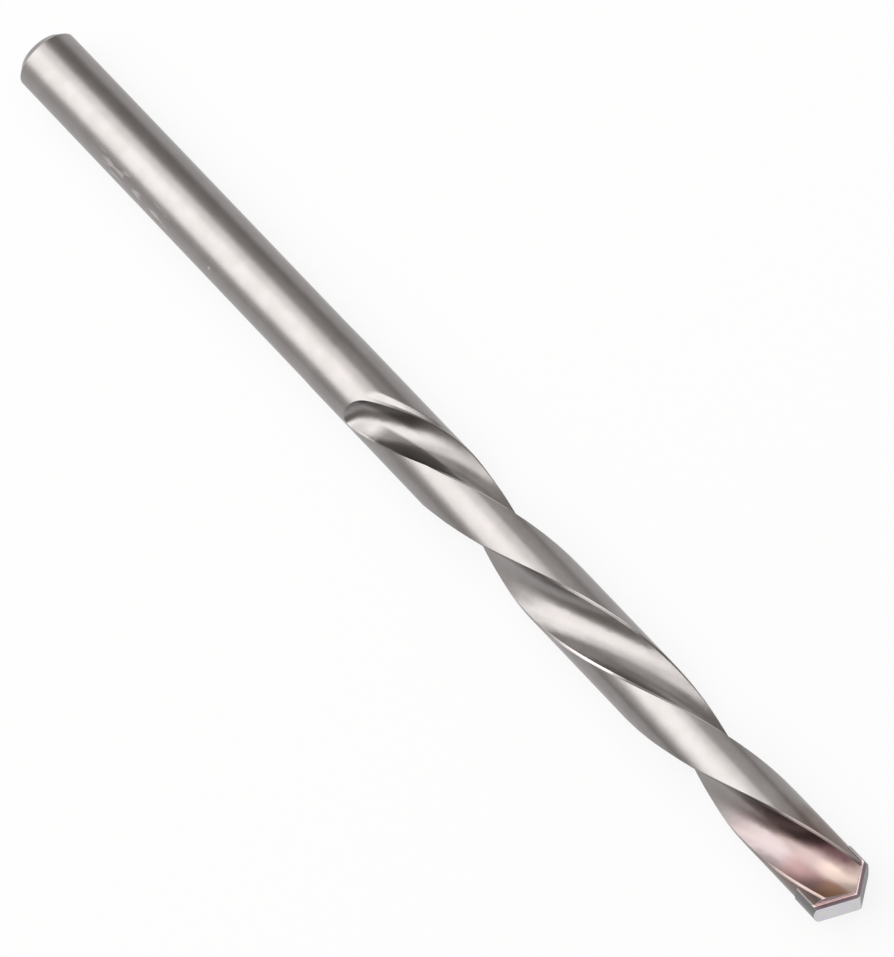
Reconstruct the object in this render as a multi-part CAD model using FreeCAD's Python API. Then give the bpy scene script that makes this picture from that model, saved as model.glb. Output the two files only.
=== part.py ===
"""Masonry drill bit with a round shank, two spiral flutes and a brazed carbide plate.

Millimetres and degrees. The bit lies on its side: the axis is X, the point is at
+X, Z is up, and the origin is the centre of the shank's end face.
"""

import FreeCAD
import Part
import math
import os
from FreeCAD import Placement, Rotation, Vector

# Whole bit
OVERALL_LENGTH = 85.0
BODY_DIAMETER = 4.8
CARBIDE_DIAMETER = 5.0

# Shank: a little thinner than the body, with a cone between them short of the flutes
SHANK_DIAMETER = 4.75
SHANK_CHAMFER = 0.55
SHANK_CONE = 1.5
PLAIN_BODY = 3.5

# Flutes
FLUTE_COUNT = 2
FLUTE_LENGTH = 49.4
LEAD = 43.3
HAND = -1  # -1 is a left-hand spiral, 1 a right-hand one
WEB_DIAMETER = 1.6
NOSE_WEB_DIAMETER = 2.55  # the flutes get shallower towards the nose, to leave steel over the plate
NOSE_WEB_RAMP = 4.0
FLUTE_OPENING = 101.0  # the part of the circle that one flute takes, in degrees
FLUTES_SQUARE_AT = 2.15  # behind the point, where the flutes' middles are square to the plate
EDGE_BEVEL = 0.2
EDGE_BEVEL_ANGLE = 40.0

# Where a flute runs out towards the shank: a slow ramp, then a rounded scoop
RUNOUT_LENGTH = 9.1
RUNOUT_RISE = 0.87
RUNOUT_TURN = 30.0
SCOOP_RADIUS = 1.15

# Carbide plate, set across the nose and ground to a roof
PLATE_THICKNESS = 2.1
PLATE_SIDE_HEIGHT = 1.55
PLATE_ANGLE = 12.0  # from straight up, towards +Y
POINT_ANGLE = 118.0
POINT_LEAN = 6.5  # the roof is ground leaning to one side
POINT_OFFSET = 0.4  # and its ridge is that far off the axis
CHISEL_FLAT = 0.22
STEEL_SETBACK = 0.38  # the steel nose ends this far behind the carbide's roof
BRAZE_GAP = 0.05

# Construction values
STATION_TURN = 15.0
SCOOP_STATIONS = 5
CUT_MARGIN = 1.0

SHANK_RADIUS = SHANK_DIAMETER / 2
SHANK_LENGTH = OVERALL_LENGTH - FLUTE_LENGTH - PLAIN_BODY - SHANK_CONE
BODY_RADIUS = BODY_DIAMETER / 2
CARBIDE_RADIUS = CARBIDE_DIAMETER / 2
WEB_RADIUS = WEB_DIAMETER / 2
NOSE_WEB_RADIUS = NOSE_WEB_DIAMETER / 2
SLOT_WIDTH = PLATE_THICKNESS + 2 * BRAZE_GAP
AXIS = Vector(1, 0, 0)

# The roof's two sides, as half angles from the axis
STEEP_SIDE = POINT_ANGLE / 2 - POINT_LEAN
SHALLOW_SIDE = POINT_ANGLE / 2 + POINT_LEAN


def fall(angle):
    """How far the roof drops for each millimetre away from its ridge."""
    return 1 / math.tan(math.radians(angle))


# The flat on the ridge cuts the roof's sharp top off
SHARP_TOP = OVERALL_LENGTH + CHISEL_FLAT / (1 / fall(STEEP_SIDE) + 1 / fall(SHALLOW_SIDE))
LOW_SHOULDER = SHARP_TOP - max(
    (CARBIDE_RADIUS - POINT_OFFSET) * fall(STEEP_SIDE),
    (CARBIDE_RADIUS + POINT_OFFSET) * fall(SHALLOW_SIDE),
)
PLATE_BASE = LOW_SHOULDER - PLATE_SIDE_HEIGHT
SLOT_BOTTOM = PLATE_BASE - BRAZE_GAP


def turned(shape, angle):
    """The shape turned about the bit's axis, positive by the right-hand rule."""
    copy = shape.copy()
    copy.rotate(Vector(0, 0, 0), AXIS, angle)
    return copy


def spiral_angle(x):
    """The turn about the axis that takes +Z to the first flute's middle at x."""
    return -PLATE_ANGLE + HAND * 360 * (x - OVERALL_LENGTH + FLUTES_SQUARE_AT) / LEAD


def web_radius(x):
    """Radius of the steel left between the flutes at x: more of it beside the plate's slot."""
    done = (x - SLOT_BOTTOM) / NOSE_WEB_RAMP + 1
    done = min(max(done, 0), 1)
    return WEB_RADIUS + (NOSE_WEB_RADIUS - WEB_RADIUS) * done * done * (3 - 2 * done)


def flute_profile(bottom_radius):
    """Section of the flute cutter, square to the axis, with its bottom at the stated radius."""
    half = math.radians(FLUTE_OPENING / 2)
    outward = Vector(0, math.sin(half), math.cos(half))
    inward_turn = Vector(0, -math.cos(half), math.sin(half))
    tilt = math.radians(EDGE_BEVEL_ANGLE)
    bevel = inward_turn * math.cos(tilt) - outward * math.sin(tilt)
    land_edge = outward * BODY_RADIUS
    bottom_edge = land_edge + bevel * EDGE_BEVEL
    clear_edge = land_edge - bevel * CUT_MARGIN

    def mirrored(point):
        return Vector(point.x, -point.y, point.z)

    bottom = Part.Arc(mirrored(bottom_edge), Vector(0, 0, bottom_radius), bottom_edge)
    top = Part.Arc(clear_edge, Vector(0, 0, 2 * BODY_RADIUS), mirrored(clear_edge))
    return Part.Wire(
        [
            bottom.toShape(),
            Part.makeLine(bottom_edge, clear_edge),
            top.toShape(),
            Part.makeLine(mirrored(clear_edge), mirrored(bottom_edge)),
        ]
    )


def runout_stations():
    """Places along the run-out as (distance from its start, lift), up to above the surface."""
    left_to_lift = BODY_RADIUS - WEB_RADIUS - RUNOUT_RISE
    scoop_reach = math.sqrt(left_to_lift * (2 * SCOOP_RADIUS - left_to_lift))
    scoop_start = RUNOUT_LENGTH - scoop_reach

    def ramp(along):
        return RUNOUT_RISE * along / RUNOUT_LENGTH

    steps = math.ceil(scoop_start / (LEAD * STATION_TURN / 360))
    stations = []
    for step in range(1, steps + 1):
        along = scoop_start * step / steps
        stations.append((along, ramp(along)))
    for step in range(1, SCOOP_STATIONS + 1):
        swing = math.radians(STATION_TURN * step)
        along = scoop_start + SCOOP_RADIUS * math.sin(swing)
        stations.append((along, ramp(along) + SCOOP_RADIUS * (1 - math.cos(swing))))
    return stations


def flute_cutter():
    """One flute's cutter: the profile lofted along the spiral and up through the run-out."""
    runout_start = OVERALL_LENGTH - FLUTE_LENGTH + RUNOUT_LENGTH
    past_nose = OVERALL_LENGTH + CUT_MARGIN
    steps = math.ceil((past_nose - runout_start) / (LEAD * STATION_TURN / 360))

    def section(x, lift, extra_turn):
        placed = flute_profile(web_radius(x))
        placed.Placement = Placement(
            Vector(x, 0, 0), Rotation(AXIS, spiral_angle(x) + extra_turn)
        ) * Placement(Vector(0, 0, lift), Rotation())
        return placed

    sections = []
    for step in range(steps + 1):
        x = past_nose + (runout_start - past_nose) * step / steps
        sections.append(section(x, 0, 0))
    for along, lift in runout_stations():
        extra_turn = -HAND * RUNOUT_TURN * along / RUNOUT_LENGTH
        sections.append(section(runout_start - along, lift, extra_turn))
    return Part.makeLoft(sections, True, False)


def half_space_roof(setback):
    """Everything beyond the nose's roof, set back along the axis, to be cut away."""
    reach = 3 * CARBIDE_RADIUS
    top = Vector(SHARP_TOP - setback, 0, 0)
    ridge = POINT_OFFSET
    steep_edge = Vector(top.x - (reach - ridge) * fall(STEEP_SIDE), reach, 0)
    shallow_edge = Vector(top.x - (reach + ridge) * fall(SHALLOW_SIDE), -reach, 0)
    front = SHARP_TOP + reach
    outline = Part.makePolygon(
        [
            Vector(top.x, ridge, -reach),
            steep_edge - Vector(0, 0, reach),
            Vector(front, reach, -reach),
            Vector(front, -reach, -reach),
            shallow_edge - Vector(0, 0, reach),
            Vector(top.x, ridge, -reach),
        ]
    )
    beyond = Part.Face(outline).extrude(Vector(0, 0, 2 * reach))
    flat = Part.makeBox(reach, 2 * reach, 2 * reach, Vector(OVERALL_LENGTH - setback, -reach, -reach))
    return beyond.fuse(flat)


def plate_blank(thickness, base):
    """A block across the nose, as thick as stated, from base to past the point."""
    reach = 2 * CARBIDE_RADIUS
    front = SHARP_TOP + CUT_MARGIN
    return Part.makeBox(front - base, 2 * reach, thickness, Vector(base, -reach, -thickness / 2))


def rod(radius, start, end):
    """A round bar along the axis."""
    return Part.makeCylinder(radius, end - start, Vector(start, 0, 0), AXIS)


def blank():
    """The turned bar: the shank with its chamfer, the cone and the body."""
    outline = [
        (0, 0),
        (0, SHANK_RADIUS - SHANK_CHAMFER),
        (SHANK_CHAMFER, SHANK_RADIUS),
        (SHANK_LENGTH, SHANK_RADIUS),
        (SHANK_LENGTH + SHANK_CONE, BODY_RADIUS),
        (OVERALL_LENGTH, BODY_RADIUS),
        (OVERALL_LENGTH, 0),
        (0, 0),
    ]
    section = Part.Face(Part.makePolygon([Vector(x, radius, 0) for x, radius in outline]))
    return section.revolve(Vector(0, 0, 0), AXIS, 360)


def fluted_body():
    """The steel body with its flutes and ground nose, before the slot."""
    body = blank()
    cutter = flute_cutter()
    for copy in range(FLUTE_COUNT):
        body = body.cut(turned(cutter, 360 * copy / FLUTE_COUNT))
    return body.cut(turned(half_space_roof(STEEL_SETBACK), -PLATE_ANGLE))


def carbide_plate():
    """The plate: ground round at its sides and to a roof at its end."""
    plate = plate_blank(PLATE_THICKNESS, PLATE_BASE)
    plate = plate.common(rod(CARBIDE_RADIUS, PLATE_BASE, SHARP_TOP))
    plate = plate.cut(half_space_roof(0))
    return turned(plate, -PLATE_ANGLE)


def build():
    """Each piece of the bit by its node name."""
    whole = fluted_body()
    slot = turned(plate_blank(SLOT_WIDTH, SLOT_BOTTOM), -PLATE_ANGLE)
    plate = carbide_plate()
    plate_room = turned(plate_blank(PLATE_THICKNESS, PLATE_BASE), -PLATE_ANGLE)
    return {
        "bit_body": whole.cut(slot),
        "carbide_tip": plate,
        "braze_seam": whole.common(slot).cut(plate_room),
    }


def single_solid(shape):
    """The shape as one solid, where the cuts leave it in a compound."""
    return shape.Solids[0] if len(shape.Solids) == 1 else shape


os.makedirs("parts", exist_ok=True)
for name, shape in build().items():
    piece = single_solid(shape)
    piece.exportStep(f"parts/{name}.step")
    box = piece.BoundBox
    print(name, "solids", len(piece.Solids), "valid", piece.isValid(), "volume", round(piece.Volume, 3))
    print("  x", round(box.XMin, 3), round(box.XMax, 3), "z", round(box.ZMin, 3), round(box.ZMax, 3))
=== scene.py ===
"""Looks of a brazed masonry drill bit: satin steel body, carbide plate and copper braze.

The bit lies on its side on a pale floor, with its axis along X and its point at +X.
Places and sizes are in metres, unless a name says otherwise. In the finishes, a span or
band whose name ends in _mm runs along the axis, unless the name says radius, side, face
or depth. One without _mm is an angle off a flute's middle, in radians, or cuts a noise.
"""

import logging
import math
from dataclasses import dataclass
from enum import Enum

import bpy
from mathutils import Matrix, Vector


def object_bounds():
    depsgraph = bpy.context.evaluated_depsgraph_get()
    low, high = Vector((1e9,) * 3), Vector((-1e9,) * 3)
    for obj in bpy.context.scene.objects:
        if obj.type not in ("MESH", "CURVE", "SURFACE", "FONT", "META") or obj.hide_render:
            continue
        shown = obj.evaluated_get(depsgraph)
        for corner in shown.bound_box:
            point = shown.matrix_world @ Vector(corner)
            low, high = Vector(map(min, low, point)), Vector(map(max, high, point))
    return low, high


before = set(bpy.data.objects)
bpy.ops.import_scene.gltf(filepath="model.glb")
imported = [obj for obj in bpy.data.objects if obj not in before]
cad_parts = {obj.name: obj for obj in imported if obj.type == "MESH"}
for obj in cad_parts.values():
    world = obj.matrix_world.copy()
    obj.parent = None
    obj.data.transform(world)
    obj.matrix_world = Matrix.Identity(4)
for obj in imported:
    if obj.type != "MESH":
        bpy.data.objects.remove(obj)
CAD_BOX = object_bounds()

MM = 0.001
LEAD_MM = 43.3
SQUARE_AT_MM = 82.85  # where the flutes' middles are square to the plate
RUNOUT_FROM_MM = 44.7  # where a flute's run-out starts and where it ends
RUNOUT_TO_MM = 35.6
RUNOUT_TURN = math.radians(30.0)  # what the run-out turns more than the spiral
PLATE_ANGLE = math.radians(12.0)  # of the plate's face, from straight up towards +Y
ROOF_TOP_MM = 85.065
RIDGE_MM = 0.4  # off the axis
STEEP_SIDE = math.radians(52.5)  # the roof's sides, as angles from the axis
SHALLOW_SIDE = math.radians(65.5)
STEEP_FALL = 1 / math.tan(STEEP_SIDE)
SHALLOW_FALL = 1 / math.tan(SHALLOW_SIDE)
STEEL_SETBACK_MM = 0.38  # of the steel nose, behind the plate's roof
log = logging.getLogger("masonry_bit")

Colour = tuple[float, float, float]
Point = tuple[float, float, float]
Span = tuple[float, float]  # where a fade is 0 and where it has reached 1
Band = tuple[Span, Span]  # a band's two fades
Socket = bpy.types.NodeSocket


class Node(Enum):
    """The bit's pieces, by their names in the frame."""

    BODY = "bit_body"
    PLATE = "carbide_tip"
    BRAZE = "braze_seam"


class Graph:
    """A material's node tree, built one node at a time."""

    def __init__(self, name: str) -> None:
        """Starts a material with an empty tree.

        Args:
            name: The material's name.
        """
        self.material = bpy.data.materials.new(name)
        self.material.use_nodes = True
        self.tree = self.material.node_tree
        self.tree.nodes.clear()

    def feed(self, socket: Socket, value: object) -> None:
        """Links a socket to another one, or sets its plain value.

        Args:
            socket: The input to feed.
            value: An output socket, a number or a tuple.
        """
        if isinstance(value, Socket):
            self.tree.links.new(value, socket)
        else:
            socket.default_value = value

    def node(self, kind: str, *inputs: object, **settings: object) -> bpy.types.Node:
        """Adds a node.

        Args:
            kind: The node's type.
            inputs: What feeds its inputs, in their order; None leaves one as it is.
            settings: The node's own settings.

        Returns:
            The new node.
        """
        made = self.tree.nodes.new(kind)
        for key, value in settings.items():
            setattr(made, key, value)
        for socket, value in zip(made.inputs, inputs):
            if value is not None:
                self.feed(socket, value)
        return made

    def maths(self, operation: str, *values: object) -> Socket:
        """A sum or another operation on numbers.

        Args:
            operation: The operation's name.
            values: Its operands, as numbers or sockets.

        Returns:
            The result's socket.
        """
        return self.node("ShaderNodeMath", *values, operation=operation).outputs[0]

    def product(self, *factors: object) -> Socket:
        """Multiplies numbers.

        Args:
            factors: The numbers or sockets.

        Returns:
            The product's socket.
        """
        total = factors[0]
        for factor in factors[1:]:
            total = self.maths("MULTIPLY", total, factor)
        return total

    def combined(self, *parts: tuple[object, float]) -> Socket:
        """Adds numbers up.

        Args:
            parts: Each number with the factor that it counts by.

        Returns:
            The sum's socket.
        """
        total = 0.0
        for value, factor in parts:
            total = self.maths("MULTIPLY_ADD", value, factor, total)
        return total

    def ramp(self, value: object, start: float, end: float) -> Socket:
        """A smooth step from 0 to 1.

        Args:
            value: The number that runs along the step.
            start: Where the step is 0.
            end: Where it has reached 1; it may lie below the start.

        Returns:
            The step's socket.
        """
        step = self.node("ShaderNodeMapRange", value, start, end, 0.0, 1.0)
        step.interpolation_type = "SMOOTHSTEP"
        return step.outputs[0]

    def ramps(self, value: object, band: Band) -> list[Socket]:
        """The two smooth steps of a band.

        Args:
            value: The number that runs across the band.
            band: The band's two fades.

        Returns:
            The steps' sockets, to be multiplied.
        """
        return [self.ramp(value, *fade) for fade in band]

    def noise(self, where: object, scale: float, detail: float = 3.0) -> Socket:
        """Noise from 0 to 1.

        Args:
            where: The place, as a vector socket.
            scale: Lumps to a unit of that place.
            detail: How many finer layers it has.

        Returns:
            The noise's socket.
        """
        made = self.node("ShaderNodeTexNoise", where)
        made.inputs["Scale"].default_value = scale
        made.inputs["Detail"].default_value = detail
        return made.outputs[0]

    def stretched(self, where: object, by: Point) -> Socket:
        """A place scaled along each axis.

        Args:
            where: The place, as a vector socket.
            by: The factors along X, Y and Z.

        Returns:
            The scaled place's socket.
        """
        return self.node("ShaderNodeVectorMath", where, by, operation="MULTIPLY").outputs[0]

    def mix(self, factor: object, first: object, second: object) -> Socket:
        """A mix of two colours.

        Args:
            factor: How much of the second colour shows.
            first: A colour or a socket.
            second: A colour or a socket.

        Returns:
            The mixed colour's socket.
        """
        made = self.node("ShaderNodeMix", data_type="RGBA")
        self.feed(made.inputs[0], factor)
        for socket, value in ((made.inputs[6], first), (made.inputs[7], second)):
            self.feed(socket, (*value, 1.0) if isinstance(value, tuple) else value)
        return made.outputs[2]

    def bump(self, height: object, depth: float, below: object = None) -> Socket:
        """A bumped normal.

        Args:
            height: The height, from 0 to 1.
            depth: What a height of 1 stands for, in metres.
            below: A normal that this one is laid over.

        Returns:
            The normal's socket.
        """
        made = self.node("ShaderNodeBump")
        made.inputs["Strength"].default_value = 1.0
        made.inputs["Distance"].default_value = depth
        self.feed(made.inputs["Height"], height)
        if below is not None:
            self.feed(made.inputs["Normal"], below)
        return made.outputs[0]

    def metal(self, colour: object, roughness: object, normal: object) -> bpy.types.Material:
        """Ends the tree with a metal surface.

        Args:
            colour: Its base colour.
            roughness: Its roughness.
            normal: Its bumped normal.

        Returns:
            The finished material.
        """
        shader = self.node("ShaderNodeBsdfPrincipled")
        self.feed(shader.inputs["Base Color"], colour)
        self.feed(shader.inputs["Metallic"], 1.0)
        self.feed(shader.inputs["Roughness"], roughness)
        self.feed(shader.inputs["Normal"], normal)
        self.node("ShaderNodeOutputMaterial", shader.outputs[0])
        return self.material


@dataclass(frozen=True)
class Place:
    """Where a point of the bit lies, in millimetres, as sockets.

    The plate's own frame gives over_plate, square to its faces, and plate_side, across the
    nose. off_middle is the angle from a flute's middle, and behind_roof the way back along
    the axis from the plate's roof.
    """

    point: Socket
    along: Socket
    radius: Socket
    over_plate: Socket
    plate_side: Socket
    off_middle: Socket
    behind_roof: Socket

    @classmethod
    def of(cls, graph: Graph) -> "Place":
        """Reads the place from the object's own coordinates.

        Args:
            graph: The tree that asks.

        Returns:
            The place's sockets.
        """
        own = graph.node("ShaderNodeTexCoord").outputs["Object"]
        point = graph.stretched(own, (1 / MM, 1 / MM, 1 / MM))
        along, across, height = graph.node("ShaderNodeSeparateXYZ", point).outputs
        flat = graph.stretched(point, (0.0, 1.0, 1.0))
        radius = graph.node("ShaderNodeVectorMath", flat, operation="LENGTH").outputs["Value"]
        sine, cosine = math.sin(PLATE_ANGLE), math.cos(PLATE_ANGLE)
        over_plate = graph.combined((across, sine), (height, cosine))
        plate_side = graph.combined((across, cosine), (height, -sine))
        turn = graph.maths("ARCTAN2", plate_side, over_plate)
        ahead = graph.maths("SUBTRACT", along, SQUARE_AT_MM)
        spiral = graph.product(ahead, math.tau / LEAD_MM)
        runout = (RUNOUT_FROM_MM, RUNOUT_TO_MM, 0.0, RUNOUT_TURN)
        climb = graph.node("ShaderNodeMapRange", along, *runout).outputs[0]
        middle = graph.maths("SUBTRACT", spiral, climb)
        apart = graph.maths("SUBTRACT", turn, middle)
        off_middle = graph.maths("WRAP", apart, math.pi / 2, -math.pi / 2)
        steep = graph.combined((plate_side, STEEP_FALL), (1.0, -RIDGE_MM * STEEP_FALL))
        shallow = graph.combined((plate_side, -SHALLOW_FALL), (1.0, RIDGE_MM * SHALLOW_FALL))
        drop = graph.maths("MAXIMUM", steep, shallow)
        behind_top = graph.maths("SUBTRACT", ROOF_TOP_MM, along)
        behind_roof = graph.maths("SUBTRACT", behind_top, drop)
        return cls(point, along, radius, over_plate, plate_side, off_middle, behind_roof)


@dataclass(frozen=True)
class RimLightAndShade:
    """Bevels along the flutes' edges: painted highlight on the lower edge, painted shade on the
    upper one.
    """

    # bright: painted highlight on the lower rim; dull: painted shade on the upper rim
    bright: Colour = (0.50, 0.47, 0.46)
    dull: Colour = (0.15, 0.14, 0.137)
    # nose: a dimmer painted highlight on the lower rim near the nose
    nose: Colour = (0.33, 0.28, 0.275)
    cover: float = 0.7
    radius_mm: Span = (2.24, 2.31)
    lower_edge: Span = (0.1, -0.1)
    lower_start_mm: Span = (36.8, 38.0)
    start_mm: Span = (38.5, 42.0)
    nose_mm: Span = (76.0, 79.0)

    def lay(self, g: Graph, place: Place, in_flute: Socket, below: Socket) -> Socket:
        """Lays the painted highlight and painted shade of the flutes' edges over the steel.

        Args:
            g: The tree.
            place: The point's place.
            in_flute: How far the point is inside a flute, from 0 to 1.
            below: The colour below.

        Returns:
            The colour's socket.
        """
        near_land = g.ramp(place.radius, *self.radius_mm)
        on_lower = g.ramp(place.off_middle, *self.lower_edge)
        lower_only = g.product(on_lower, g.ramp(place.along, *self.lower_start_mm))
        bevelled = g.maths("MAXIMUM", lower_only, g.ramp(place.along, *self.start_mm))
        edge = g.product(near_land, in_flute, bevelled)
        # painted highlight on the lower rim, painted shade on the upper one
        lower = g.mix(g.ramp(place.along, *self.nose_mm), self.bright, self.nose)
        rim = g.mix(g.ramp(place.off_middle, *reversed(self.lower_edge)), lower, self.dull)
        return g.mix(g.product(edge, self.cover), below, rim)


@dataclass(frozen=True)
class RoundedEdge:
    """The worn upper edge of a flute's run-out, where the surface leans into the flute."""

    lean: float = 0.58
    at_radius_mm: float = 2.37
    band: Band = ((0.68, 0.75), (0.99, 0.87))
    stretch_mm: Band = ((42.0, 40.0), (36.0, 37.2))

    def normal(self, g: Graph, place: Place) -> Socket:
        """Leans the normal towards the flute.

        Args:
            g: The tree.
            place: The point's place.

        Returns:
            The normal's socket.
        """
        on_band = g.product(*g.ramps(place.off_middle, self.band))
        on_stretch = g.product(*g.ramps(place.along, self.stretch_mm))
        amount = g.product(on_band, on_stretch, self.lean / self.at_radius_mm)
        across, height = g.node("ShaderNodeSeparateXYZ", place.point).outputs[1:]
        turned = g.product(height, -1.0)
        inwards = g.node("ShaderNodeCombineXYZ", 0.0, turned, across).outputs[0]
        leaning = g.node("ShaderNodeVectorMath", inwards, operation="SCALE")
        g.feed(leaning.inputs["Scale"], amount)
        own = g.node("ShaderNodeNewGeometry").outputs["Normal"]
        total = g.node("ShaderNodeVectorMath", own, leaning.outputs[0], operation="ADD").outputs[0]
        return g.node("ShaderNodeVectorMath", total, operation="NORMALIZE").outputs[0]


@dataclass(frozen=True)
class Scuffs:
    """Pale scuffs in a box of the shank's surface, and one nick."""

    colour: Colour = (0.50, 0.47, 0.46)
    cover: float = 0.8
    stretch: Point = (0.55, 1.6, 1.6)
    scale: float = 1.3
    detail: float = 5.0
    noise_cut: Span = (0.50, 0.60)
    from_mm: Point = (8.6, -2.25, 0.8)
    to_mm: Point = (17.3, -1.35, 2.2)
    fade: float = 0.2
    nick_mm: Point = (21.1, -1.84, 1.5)
    nick_radius_mm: Span = (0.17, 0.08)

    def lay(self, g: Graph, place: Place, below: Socket) -> Socket:
        """Lays the scuffs and the nick over the steel.

        Args:
            g: The tree.
            place: The point's place.
            below: The colour below.

        Returns:
            The colour's socket.
        """
        lumps = g.noise(g.stretched(place.point, self.stretch), self.scale, self.detail)
        worn = g.ramp(lumps, *self.noise_cut)
        parts = g.node("ShaderNodeSeparateXYZ", place.point).outputs
        for part, start, end in zip(parts, self.from_mm, self.to_mm):
            fade = (end - start) * self.fade
            inside = g.product(*g.ramps(part, ((start, start + fade), (end, end - fade))))
            worn = g.product(worn, inside)
        away = g.node("ShaderNodeVectorMath", place.point, self.nick_mm, operation="DISTANCE")
        nick = g.ramp(away.outputs["Value"], *self.nick_radius_mm)
        marks = g.maths("MAXIMUM", worn, nick)
        return g.mix(g.product(marks, self.cover), below, self.colour)


@dataclass(frozen=True)
class RunoutWallShade:
    """The steep walls where a flute runs out, darkened with painted shade."""

    # painted shade in the run-out's recess
    colour: Colour = (0.115, 0.107, 0.104)
    upper: Span = (0.30, 0.52)
    upper_mm: Span = (41.0, 39.5)
    lower: Span = (-0.02, -0.22)
    lower_mm: Band = ((45.5, 42.5), (37.7, 39.0))

    def lay(self, g: Graph, place: Place, in_flute: Socket, below: Socket) -> Socket:
        """Lays the walls' shade over the steel.

        Args:
            g: The tree.
            place: The point's place.
            in_flute: How far the point is inside a flute, from 0 to 1.
            below: The colour below.

        Returns:
            The colour's socket.
        """
        off, along = place.off_middle, place.along
        upper = g.product(g.ramp(off, *self.upper), g.ramp(along, *self.upper_mm))
        lower = g.product(g.ramp(off, *self.lower), *g.ramps(along, self.lower_mm))
        wall = g.product(g.maths("MAXIMUM", upper, lower), in_flute)
        return g.mix(wall, below, self.colour)


@dataclass(frozen=True)
class HeatTintAndPaintedLight:
    """Heat tint round the nose: rose flutes and brown lands, with painted shade and highlight on
    the flute walls.
    """

    rose: Colour = (0.24, 0.187, 0.18)
    # a paler copy of the rose: painted highlight on the lower flute wall
    highlit_rose: Colour = (0.285, 0.242, 0.242)
    copper: Colour = (0.41, 0.325, 0.29)
    # painted shade on the lower flute wall near the slot, in a copper tint
    shaded_russet: Colour = (0.225, 0.145, 0.142)
    # painted shade on the upper flute wall near the nose, in a purple heat tint
    shaded_plum: Colour = (0.085, 0.055, 0.055)
    deep_shaded_plum: Colour = (0.072, 0.04, 0.042)
    bronze: Colour = (0.29, 0.17, 0.115)
    brown_land: Colour = (0.18, 0.137, 0.122)
    waver_scale: float = 0.45
    waver_mm: float = 8.0
    waver_turn: float = 0.5
    start_mm: Span = (72.0, 77.5)
    copper_mm: Span = (81.0, 82.8)
    lower_side: Span = (0.0, -0.48)
    russet_mm: Span = (78.8, 80.8)
    plum_side: Span = (0.27, 0.78)
    plum_drift: float = 0.03
    plum_drift_from_mm: float = 80.0
    plum_mm: Span = (73.0, 78.0)
    plum_end_mm: Span = (86.0, 82.5)
    deep_plum_mm: Span = (78.8, 81.0)
    bronze_mm: Span = (82.4, 83.4)
    bronze_side: Span = (0.0, -0.4)
    land_mm: Span = (76.5, 80.0)
    land_cover: float = 0.8

    def lay(self, g: Graph, place: Place, in_flute: Socket, below: Socket) -> Socket:
        """Lays the heat tint, with its painted highlight and painted shade, over the steel.

        Args:
            g: The tree.
            place: The point's place.
            in_flute: How far the point is inside a flute, from 0 to 1.
            below: The colour below.

        Returns:
            The colour's socket.
        """
        waver = g.maths("SUBTRACT", g.noise(place.point, self.waver_scale), 0.5)
        along = g.combined((waver, self.waver_mm), (place.along, 1.0))
        side = g.combined((waver, self.waver_turn), (place.off_middle, 1.0))
        warm = g.product(g.ramp(along, *self.start_mm), in_flute)
        colour = g.mix(g.ramp(place.along, *self.copper_mm), self.rose, self.copper)
        colour = g.mix(warm, below, colour)
        on_lower = g.product(g.ramp(side, *self.lower_side), warm)
        # lower flute wall: painted highlight, then painted shade towards the slot
        lower = g.mix(g.ramp(place.along, *self.russet_mm), self.highlit_rose, self.shaded_russet)
        colour = g.mix(on_lower, colour, lower)
        edge = g.combined(
            (place.along, -self.plum_drift),
            (side, 1.0),
            (1.0, self.plum_drift_from_mm * self.plum_drift),
        )
        on_upper = g.product(
            g.ramp(edge, *self.plum_side),
            g.ramp(along, *self.plum_mm),
            g.ramp(place.along, *self.plum_end_mm),
        )
        # painted shade on the upper flute wall, deeper towards the slot
        shaded_plum = g.mix(g.ramp(place.along, *self.deep_plum_mm), self.shaded_plum, self.deep_shaded_plum)
        colour = g.mix(g.product(on_upper, in_flute), colour, shaded_plum)
        at_slot = g.product(g.ramp(place.along, *self.bronze_mm), g.ramp(side, *self.bronze_side))
        colour = g.mix(g.product(at_slot, in_flute), colour, self.bronze)
        on_land = g.maths("SUBTRACT", 1.0, in_flute)
        scorched = g.product(g.ramp(along, *self.land_mm), on_land, self.land_cover)
        return g.mix(scorched, colour, self.brown_land)


@dataclass(frozen=True)
class NoseFacetHighlight:
    """The steel of the nose, ground with the plate's roof, with a painted highlight on it."""

    # bright: painted highlight on the near side of the nose; dull: a weaker painted highlight
    # across the ridge
    bright: Colour = (0.52, 0.44, 0.45)
    dull: Colour = (0.32, 0.265, 0.27)
    depth_mm: Span = (STEEL_SETBACK_MM + 0.05, STEEL_SETBACK_MM + 0.02)
    side_mm: Span = (0.2, 0.8)

    def lay(self, g: Graph, place: Place, below: Socket) -> Socket:
        """Lays the painted highlight of the ground facets over the steel.

        Args:
            g: The tree.
            place: The point's place.
            below: The colour below.

        Returns:
            The colour's socket.
        """
        on_facet = g.ramp(place.behind_roof, *self.depth_mm)
        facet = g.mix(g.ramp(place.plate_side, *self.side_mm), self.bright, self.dull)
        return g.mix(on_facet, below, facet)


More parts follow.
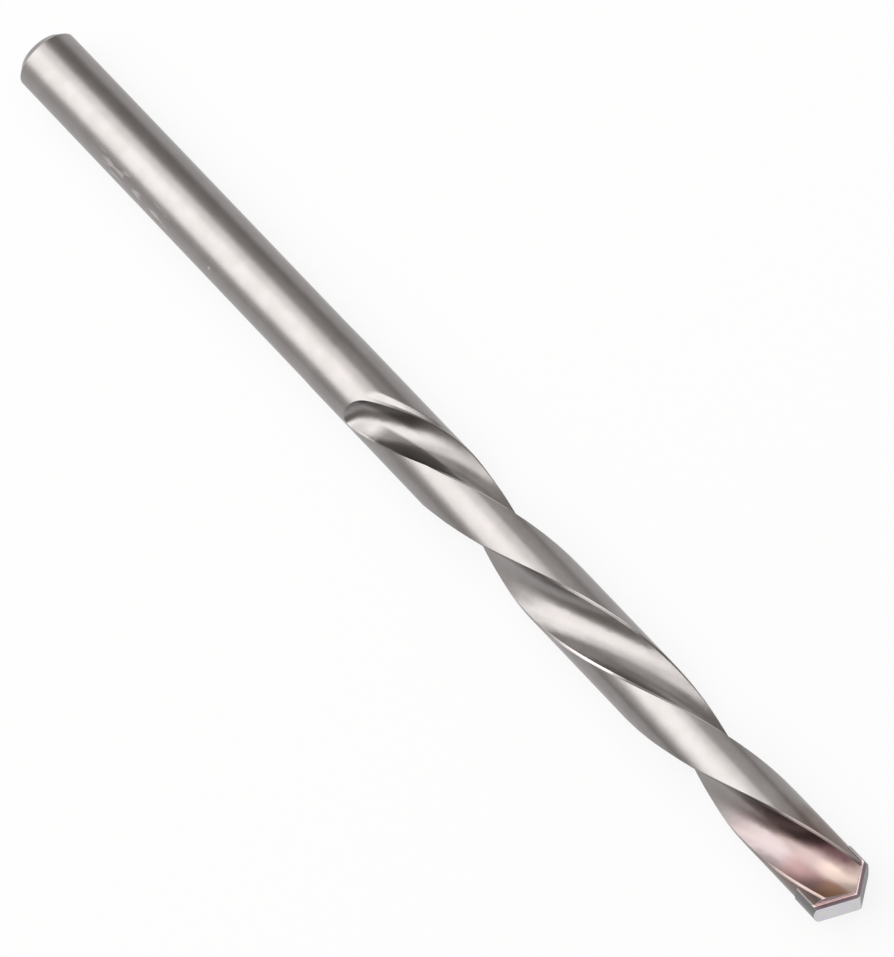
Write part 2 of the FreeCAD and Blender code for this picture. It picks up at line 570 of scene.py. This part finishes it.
@dataclass(frozen=True)
class SatinSteel:
    """Fine-blasted steel, a little mottled, with heat tint and wear, and painted highlight and
    shade.
    """

    pale: Colour = (0.292, 0.277, 0.274)
    dark: Colour = (0.272, 0.258, 0.253)
    mottle_scale: float = 0.7
    mottle_noise_cut: Span = (0.35, 0.65)
    roughness: float = 0.33
    rough_spread: float = 0.04
    patch_scale: float = 1.6
    grain_scale: float = 22.0
    drawn_stretch: Point = (0.5, 16.0, 16.0)
    grain_depth_mm: float = 0.001
    flute_radius_mm: Span = (2.37, 2.33)
    rim_light_and_shade: RimLightAndShade = RimLightAndShade()
    rounded_edge: RoundedEdge = RoundedEdge()
    scuffs: Scuffs = Scuffs()
    walls: RunoutWallShade = RunoutWallShade()
    tint_and_painted_light: HeatTintAndPaintedLight = HeatTintAndPaintedLight()
    nose: NoseFacetHighlight = NoseFacetHighlight()

    def build(self) -> bpy.types.Material:
        """Makes the material.

        Returns:
            The finished material.
        """
        g = Graph("satin_steel")
        place = Place.of(g)
        mottle = g.noise(place.point, self.mottle_scale, 4.0)
        colour = g.mix(g.ramp(mottle, *self.mottle_noise_cut), self.dark, self.pale)
        in_flute = g.ramp(place.radius, *self.flute_radius_mm)
        colour = self.scuffs.lay(g, place, colour)
        colour = self.walls.lay(g, place, in_flute, colour)
        colour = self.tint_and_painted_light.lay(g, place, in_flute, colour)
        colour = self.rim_light_and_shade.lay(g, place, in_flute, colour)
        colour = self.nose.lay(g, place, colour)
        patch = g.maths("SUBTRACT", g.noise(place.point, self.patch_scale), 0.5)
        rough = g.maths("ADD", g.product(patch, self.rough_spread), self.roughness)
        grain = g.noise(place.point, self.grain_scale)
        drawn = g.noise(g.stretched(place.point, self.drawn_stretch), 1.0)
        depth = self.grain_depth_mm * MM
        normal = g.bump(grain, depth, self.rounded_edge.normal(g, place))
        return g.metal(colour, rough, g.bump(drawn, depth, normal))


@dataclass(frozen=True)
class GroundCarbide:
    """Sintered carbide: ground flanks, one in painted shade, dark round sides, two-tone faces."""

    fresh: Colour = (0.64, 0.635, 0.61)
    lilac: Colour = (0.57, 0.55, 0.62)
    # dim: painted shade on the steep flank, beyond the ridge
    dim: Colour = (0.075, 0.072, 0.077)
    # the plate's faces: dark next to the roof, pale pink further back, dusky behind that
    dark_face: Colour = (0.105, 0.075, 0.085)
    pale_face_band: Colour = (0.62, 0.50, 0.50)
    dusky: Colour = (0.22, 0.19, 0.20)
    side: Colour = (0.17, 0.17, 0.17)
    roughness: float = 0.3
    rough_spread: float = 0.08
    cloud_scale: float = 1.2
    cloud_noise_cut: Span = (0.42, 0.62)
    shade_low: float = 0.75
    shade_spread: float = 0.5
    far_side_mm: Span = (RIDGE_MM - 0.05, RIDGE_MM + 0.25)
    face_mm: Span = (1.02, 1.04)
    round_side_mm: Span = (2.47, 2.49)
    pale_band_depth_mm: Span = (0.25, 0.31)
    dusky_depth_mm: Span = (0.42, 0.48)
    lines_stretch: Point = (24.0, 0.8, 24.0)
    lines_depth_mm: float = 0.003

    def build(self) -> bpy.types.Material:
        """Makes the material.

        Returns:
            The finished material.
        """
        g = Graph("ground_carbide")
        place = Place.of(g)
        cloud = g.noise(place.point, self.cloud_scale, 4.0)
        flank = g.mix(g.ramp(cloud, *self.cloud_noise_cut), self.fresh, self.lilac)
        # painted shade: the steep flank darker than the other
        colour = g.mix(g.ramp(place.plate_side, *self.far_side_mm), flank, self.dim)
        on_face = g.ramp(g.maths("ABSOLUTE", place.over_plate), *self.face_mm)
        # the faces darker next to the roof and pale pink further back
        face = g.mix(g.ramp(place.behind_roof, *self.pale_band_depth_mm), self.dark_face, self.pale_face_band)
        face = g.mix(g.ramp(place.behind_roof, *self.dusky_depth_mm), face, self.dusky)
        colour = g.mix(on_face, colour, face)
        colour = g.mix(g.ramp(place.radius, *self.round_side_mm), colour, self.side)
        shade = g.combined((cloud, self.shade_spread), (1.0, self.shade_low))
        grey = g.node("ShaderNodeCombineXYZ", shade, shade, shade).outputs[0]
        colour = g.node("ShaderNodeVectorMath", colour, grey, operation="MULTIPLY").outputs[0]
        lines = g.noise(g.stretched(place.point, self.lines_stretch), 1.0, 2.0)
        rough = g.combined((cloud, self.rough_spread), (1.0, self.roughness))
        normal = g.bump(lines, self.lines_depth_mm * MM)
        return g.metal(colour, rough, normal)


@dataclass(frozen=True)
class CopperBraze:
    """Dull copper braze, a little lumpy."""

    bright: Colour = (0.72, 0.45, 0.36)
    dull: Colour = (0.38, 0.22, 0.18)
    roughness: float = 0.38
    rough_spread: float = 0.1
    cloud_scale: float = 2.5
    cloud_noise_cut: Span = (0.35, 0.65)
    lump_scale: float = 6.0
    lump_depth_mm: float = 0.01

    def build(self) -> bpy.types.Material:
        """Makes the material.

        Returns:
            The finished material.
        """
        g = Graph("copper_braze")
        place = Place.of(g)
        cloud = g.noise(place.point, self.cloud_scale, 4.0)
        colour = g.mix(g.ramp(cloud, *self.cloud_noise_cut), self.dull, self.bright)
        rough = g.maths("ADD", g.product(cloud, self.rough_spread), self.roughness)
        normal = g.bump(g.noise(place.point, self.lump_scale), self.lump_depth_mm * MM)
        return g.metal(colour, rough, normal)


@dataclass
class Bit:
    """The drill bit's three pieces in their finishes."""

    steel: SatinSteel = SatinSteel()
    carbide: GroundCarbide = GroundCarbide()
    braze: CopperBraze = CopperBraze()

    def dress(self, node: Node, material: bpy.types.Material) -> bpy.types.Object:
        """Gives one piece of the frame its material.

        Args:
            node: The piece.
            material: Its finish.

        Returns:
            The piece's object.
        """
        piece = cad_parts[node.value]
        piece.data.materials.clear()
        piece.data.materials.append(material)
        log.info("%s wears %s", piece.name, material.name)
        return piece

    def build(self) -> list[bpy.types.Object]:
        """Dresses all the pieces.

        Returns:
            Their objects.
        """
        return [
            self.dress(Node.BODY, self.steel.build()),
            self.dress(Node.PLATE, self.carbide.build()),
            self.dress(Node.BRAZE, self.braze.build()),
        ]


@dataclass
class Viewpoint:
    """The camera, above the bit and a little towards its point."""

    aim_along: float = 43.66 * MM
    distance: float = 497.7 * MM
    tilt_deg: float = 22.0
    axis_slope_deg: float = 46.35
    lens_mm: float = 279.9
    sensor_mm: float = 36.0
    clip_start: float = 0.01
    clip_end: float = 20.0

    def build(self) -> bpy.types.Object:
        """Makes the camera and looks through it.

        Returns:
            The camera's object.
        """
        tilt = math.radians(self.tilt_deg)
        slope = math.radians(self.axis_slope_deg)
        back = Vector((math.sin(tilt), 0.0, math.cos(tilt)))
        axis_seen = Vector((math.cos(tilt), 0.0, -math.sin(tilt)))
        across = Vector((0.0, 1.0, 0.0))
        right = math.cos(slope) * axis_seen + math.sin(slope) * across
        up = math.cos(slope) * across - math.sin(slope) * axis_seen
        data = bpy.data.cameras.new("camera")
        data.lens = self.lens_mm
        data.sensor_width = self.sensor_mm
        data.clip_start = self.clip_start
        data.clip_end = self.clip_end
        camera = bpy.data.objects.new("camera", data)
        turn = Matrix((right, up, back)).transposed().to_4x4()
        eye = Vector((self.aim_along, 0.0, 0.0)) + back * self.distance
        camera.matrix_world = Matrix.Translation(eye) @ turn
        bpy.context.scene.collection.objects.link(camera)
        bpy.context.scene.camera = camera
        return camera


@dataclass(frozen=True)
class Softbox:
    """A soft rectangular lamp that faces the bit."""

    name: str
    direction: Point
    distance: float
    size: tuple[float, float]
    radiance: float
    yaw_deg: float = 0.0

    def build(self, target: Vector) -> bpy.types.Object:
        """Hangs the lamp.

        Args:
            target: The point that it faces.

        Returns:
            The lamp's object.
        """
        data = bpy.data.lights.new(self.name, "AREA")
        data.shape = "RECTANGLE"
        data.size, data.size_y = self.size
        data.energy = self.radiance * math.pi * self.size[0] * self.size[1]
        lamp = bpy.data.objects.new(self.name, data)
        away = Vector(self.direction).normalized()
        level = Vector((0.0, 1.0, 0.0)).cross(away).normalized()
        side = Matrix.Rotation(math.radians(self.yaw_deg), 3, away) @ level
        turn = Matrix((side, away.cross(side), away)).transposed().to_4x4()
        lamp.matrix_world = Matrix.Translation(target + away * self.distance) @ turn
        bpy.context.scene.collection.objects.link(lamp)
        return lamp


@dataclass
class Studio:
    """The pale floor, the lamps and the soft grey surroundings."""

    floor_half: float = 3.0
    floor_colour: Colour = (0.07, 0.07, 0.07)
    floor_glow: float = 0.87
    sky: Colour = (0.34, 0.31, 0.285)
    key: Softbox = Softbox("key_lamp", (-0.25, -0.32, 0.91), 0.45, (0.60, 0.43), 3.1, 25.0)
    side: Softbox = Softbox("side_lamp", (-0.25, 0.36, 0.85), 0.45, (0.60, 0.19), 1.8, 25.0)
    nose: Softbox = Softbox("nose_lamp", (-0.17, 0.846, 0.488), 0.154, (0.08, 0.09), 0.7)
    tail: Softbox = Softbox("tail_lamp", (-0.82, 0.14, 0.545), 0.5, (0.28, 0.33), 2.4)
    point: Softbox = Softbox("point_lamp", (0.407, 0.235, 0.883), 0.7, (0.28, 0.53), 2.3)
    fill: Softbox = Softbox("fill_lamp", (-0.66, -0.75, 0.25), 0.6, (0.5, 0.4), 0.6)

    def floor(self) -> bpy.types.Object:
        """Lays the floor just under the bit.

        Returns:
            The floor's object.
        """
        g = Graph("floor_paper")
        paper = g.node("ShaderNodeBsdfDiffuse")
        paper.inputs["Color"].default_value = (*self.floor_colour, 1.0)
        seen = g.node("ShaderNodeLightPath").outputs
        shown = g.maths("MAXIMUM", seen["Is Camera Ray"], seen["Is Glossy Ray"])
        shown = g.maths("MAXIMUM", shown, seen["Is Transmission Ray"])
        strength = g.product(shown, self.floor_glow)
        glow = g.node("ShaderNodeEmission", (1.0, 1.0, 1.0, 1.0), strength)
        both = g.node("ShaderNodeAddShader", paper.outputs[0], glow.outputs[0])
        g.node("ShaderNodeOutputMaterial", both.outputs[0])
        half, height = self.floor_half, CAD_BOX[0].z
        outline = [(-half, -half), (half, -half), (half, half), (-half, half)]
        corners = [(x, y, height) for x, y in outline]
        mesh = bpy.data.meshes.new("floor")
        mesh.from_pydata(corners, [], [(0, 1, 2, 3)])
        mesh.materials.append(g.material)
        piece = bpy.data.objects.new("floor", mesh)
        bpy.context.scene.collection.objects.link(piece)
        return piece

    def surround(self) -> bpy.types.World:
        """Surrounds the bit with a dim room.

        Returns:
            The world.
        """
        world = bpy.data.worlds.new("surroundings")
        bpy.context.scene.world = world
        world.use_nodes = True
        background = world.node_tree.nodes["Background"]
        background.inputs["Color"].default_value = (*self.sky, 1.0)
        return world

    def build(self, target: Vector) -> None:
        """Sets the stage and the lamps.

        Args:
            target: The point that the lamps face.
        """
        self.floor()
        self.surround()
        for lamp in (self.key, self.side, self.nose, self.tail, self.point, self.fill):
            lamp.build(target)
        bpy.context.scene.view_settings.view_transform = "Standard"


def main() -> None:
    """Builds the bit, its studio and the camera, and reports each piece."""
    logging.basicConfig(level=logging.INFO, format="%(name)s: %(message)s")
    pieces = Bit().build()
    camera = Viewpoint().build()
    target = Vector(((CAD_BOX[0].x + CAD_BOX[1].x) / 2, 0.0, 0.0))
    Studio().build(target)
    log.info("%d pieces, camera at %s", len(pieces), tuple(round(v, 4) for v in camera.location))


if __name__ == "__main__":
    main()
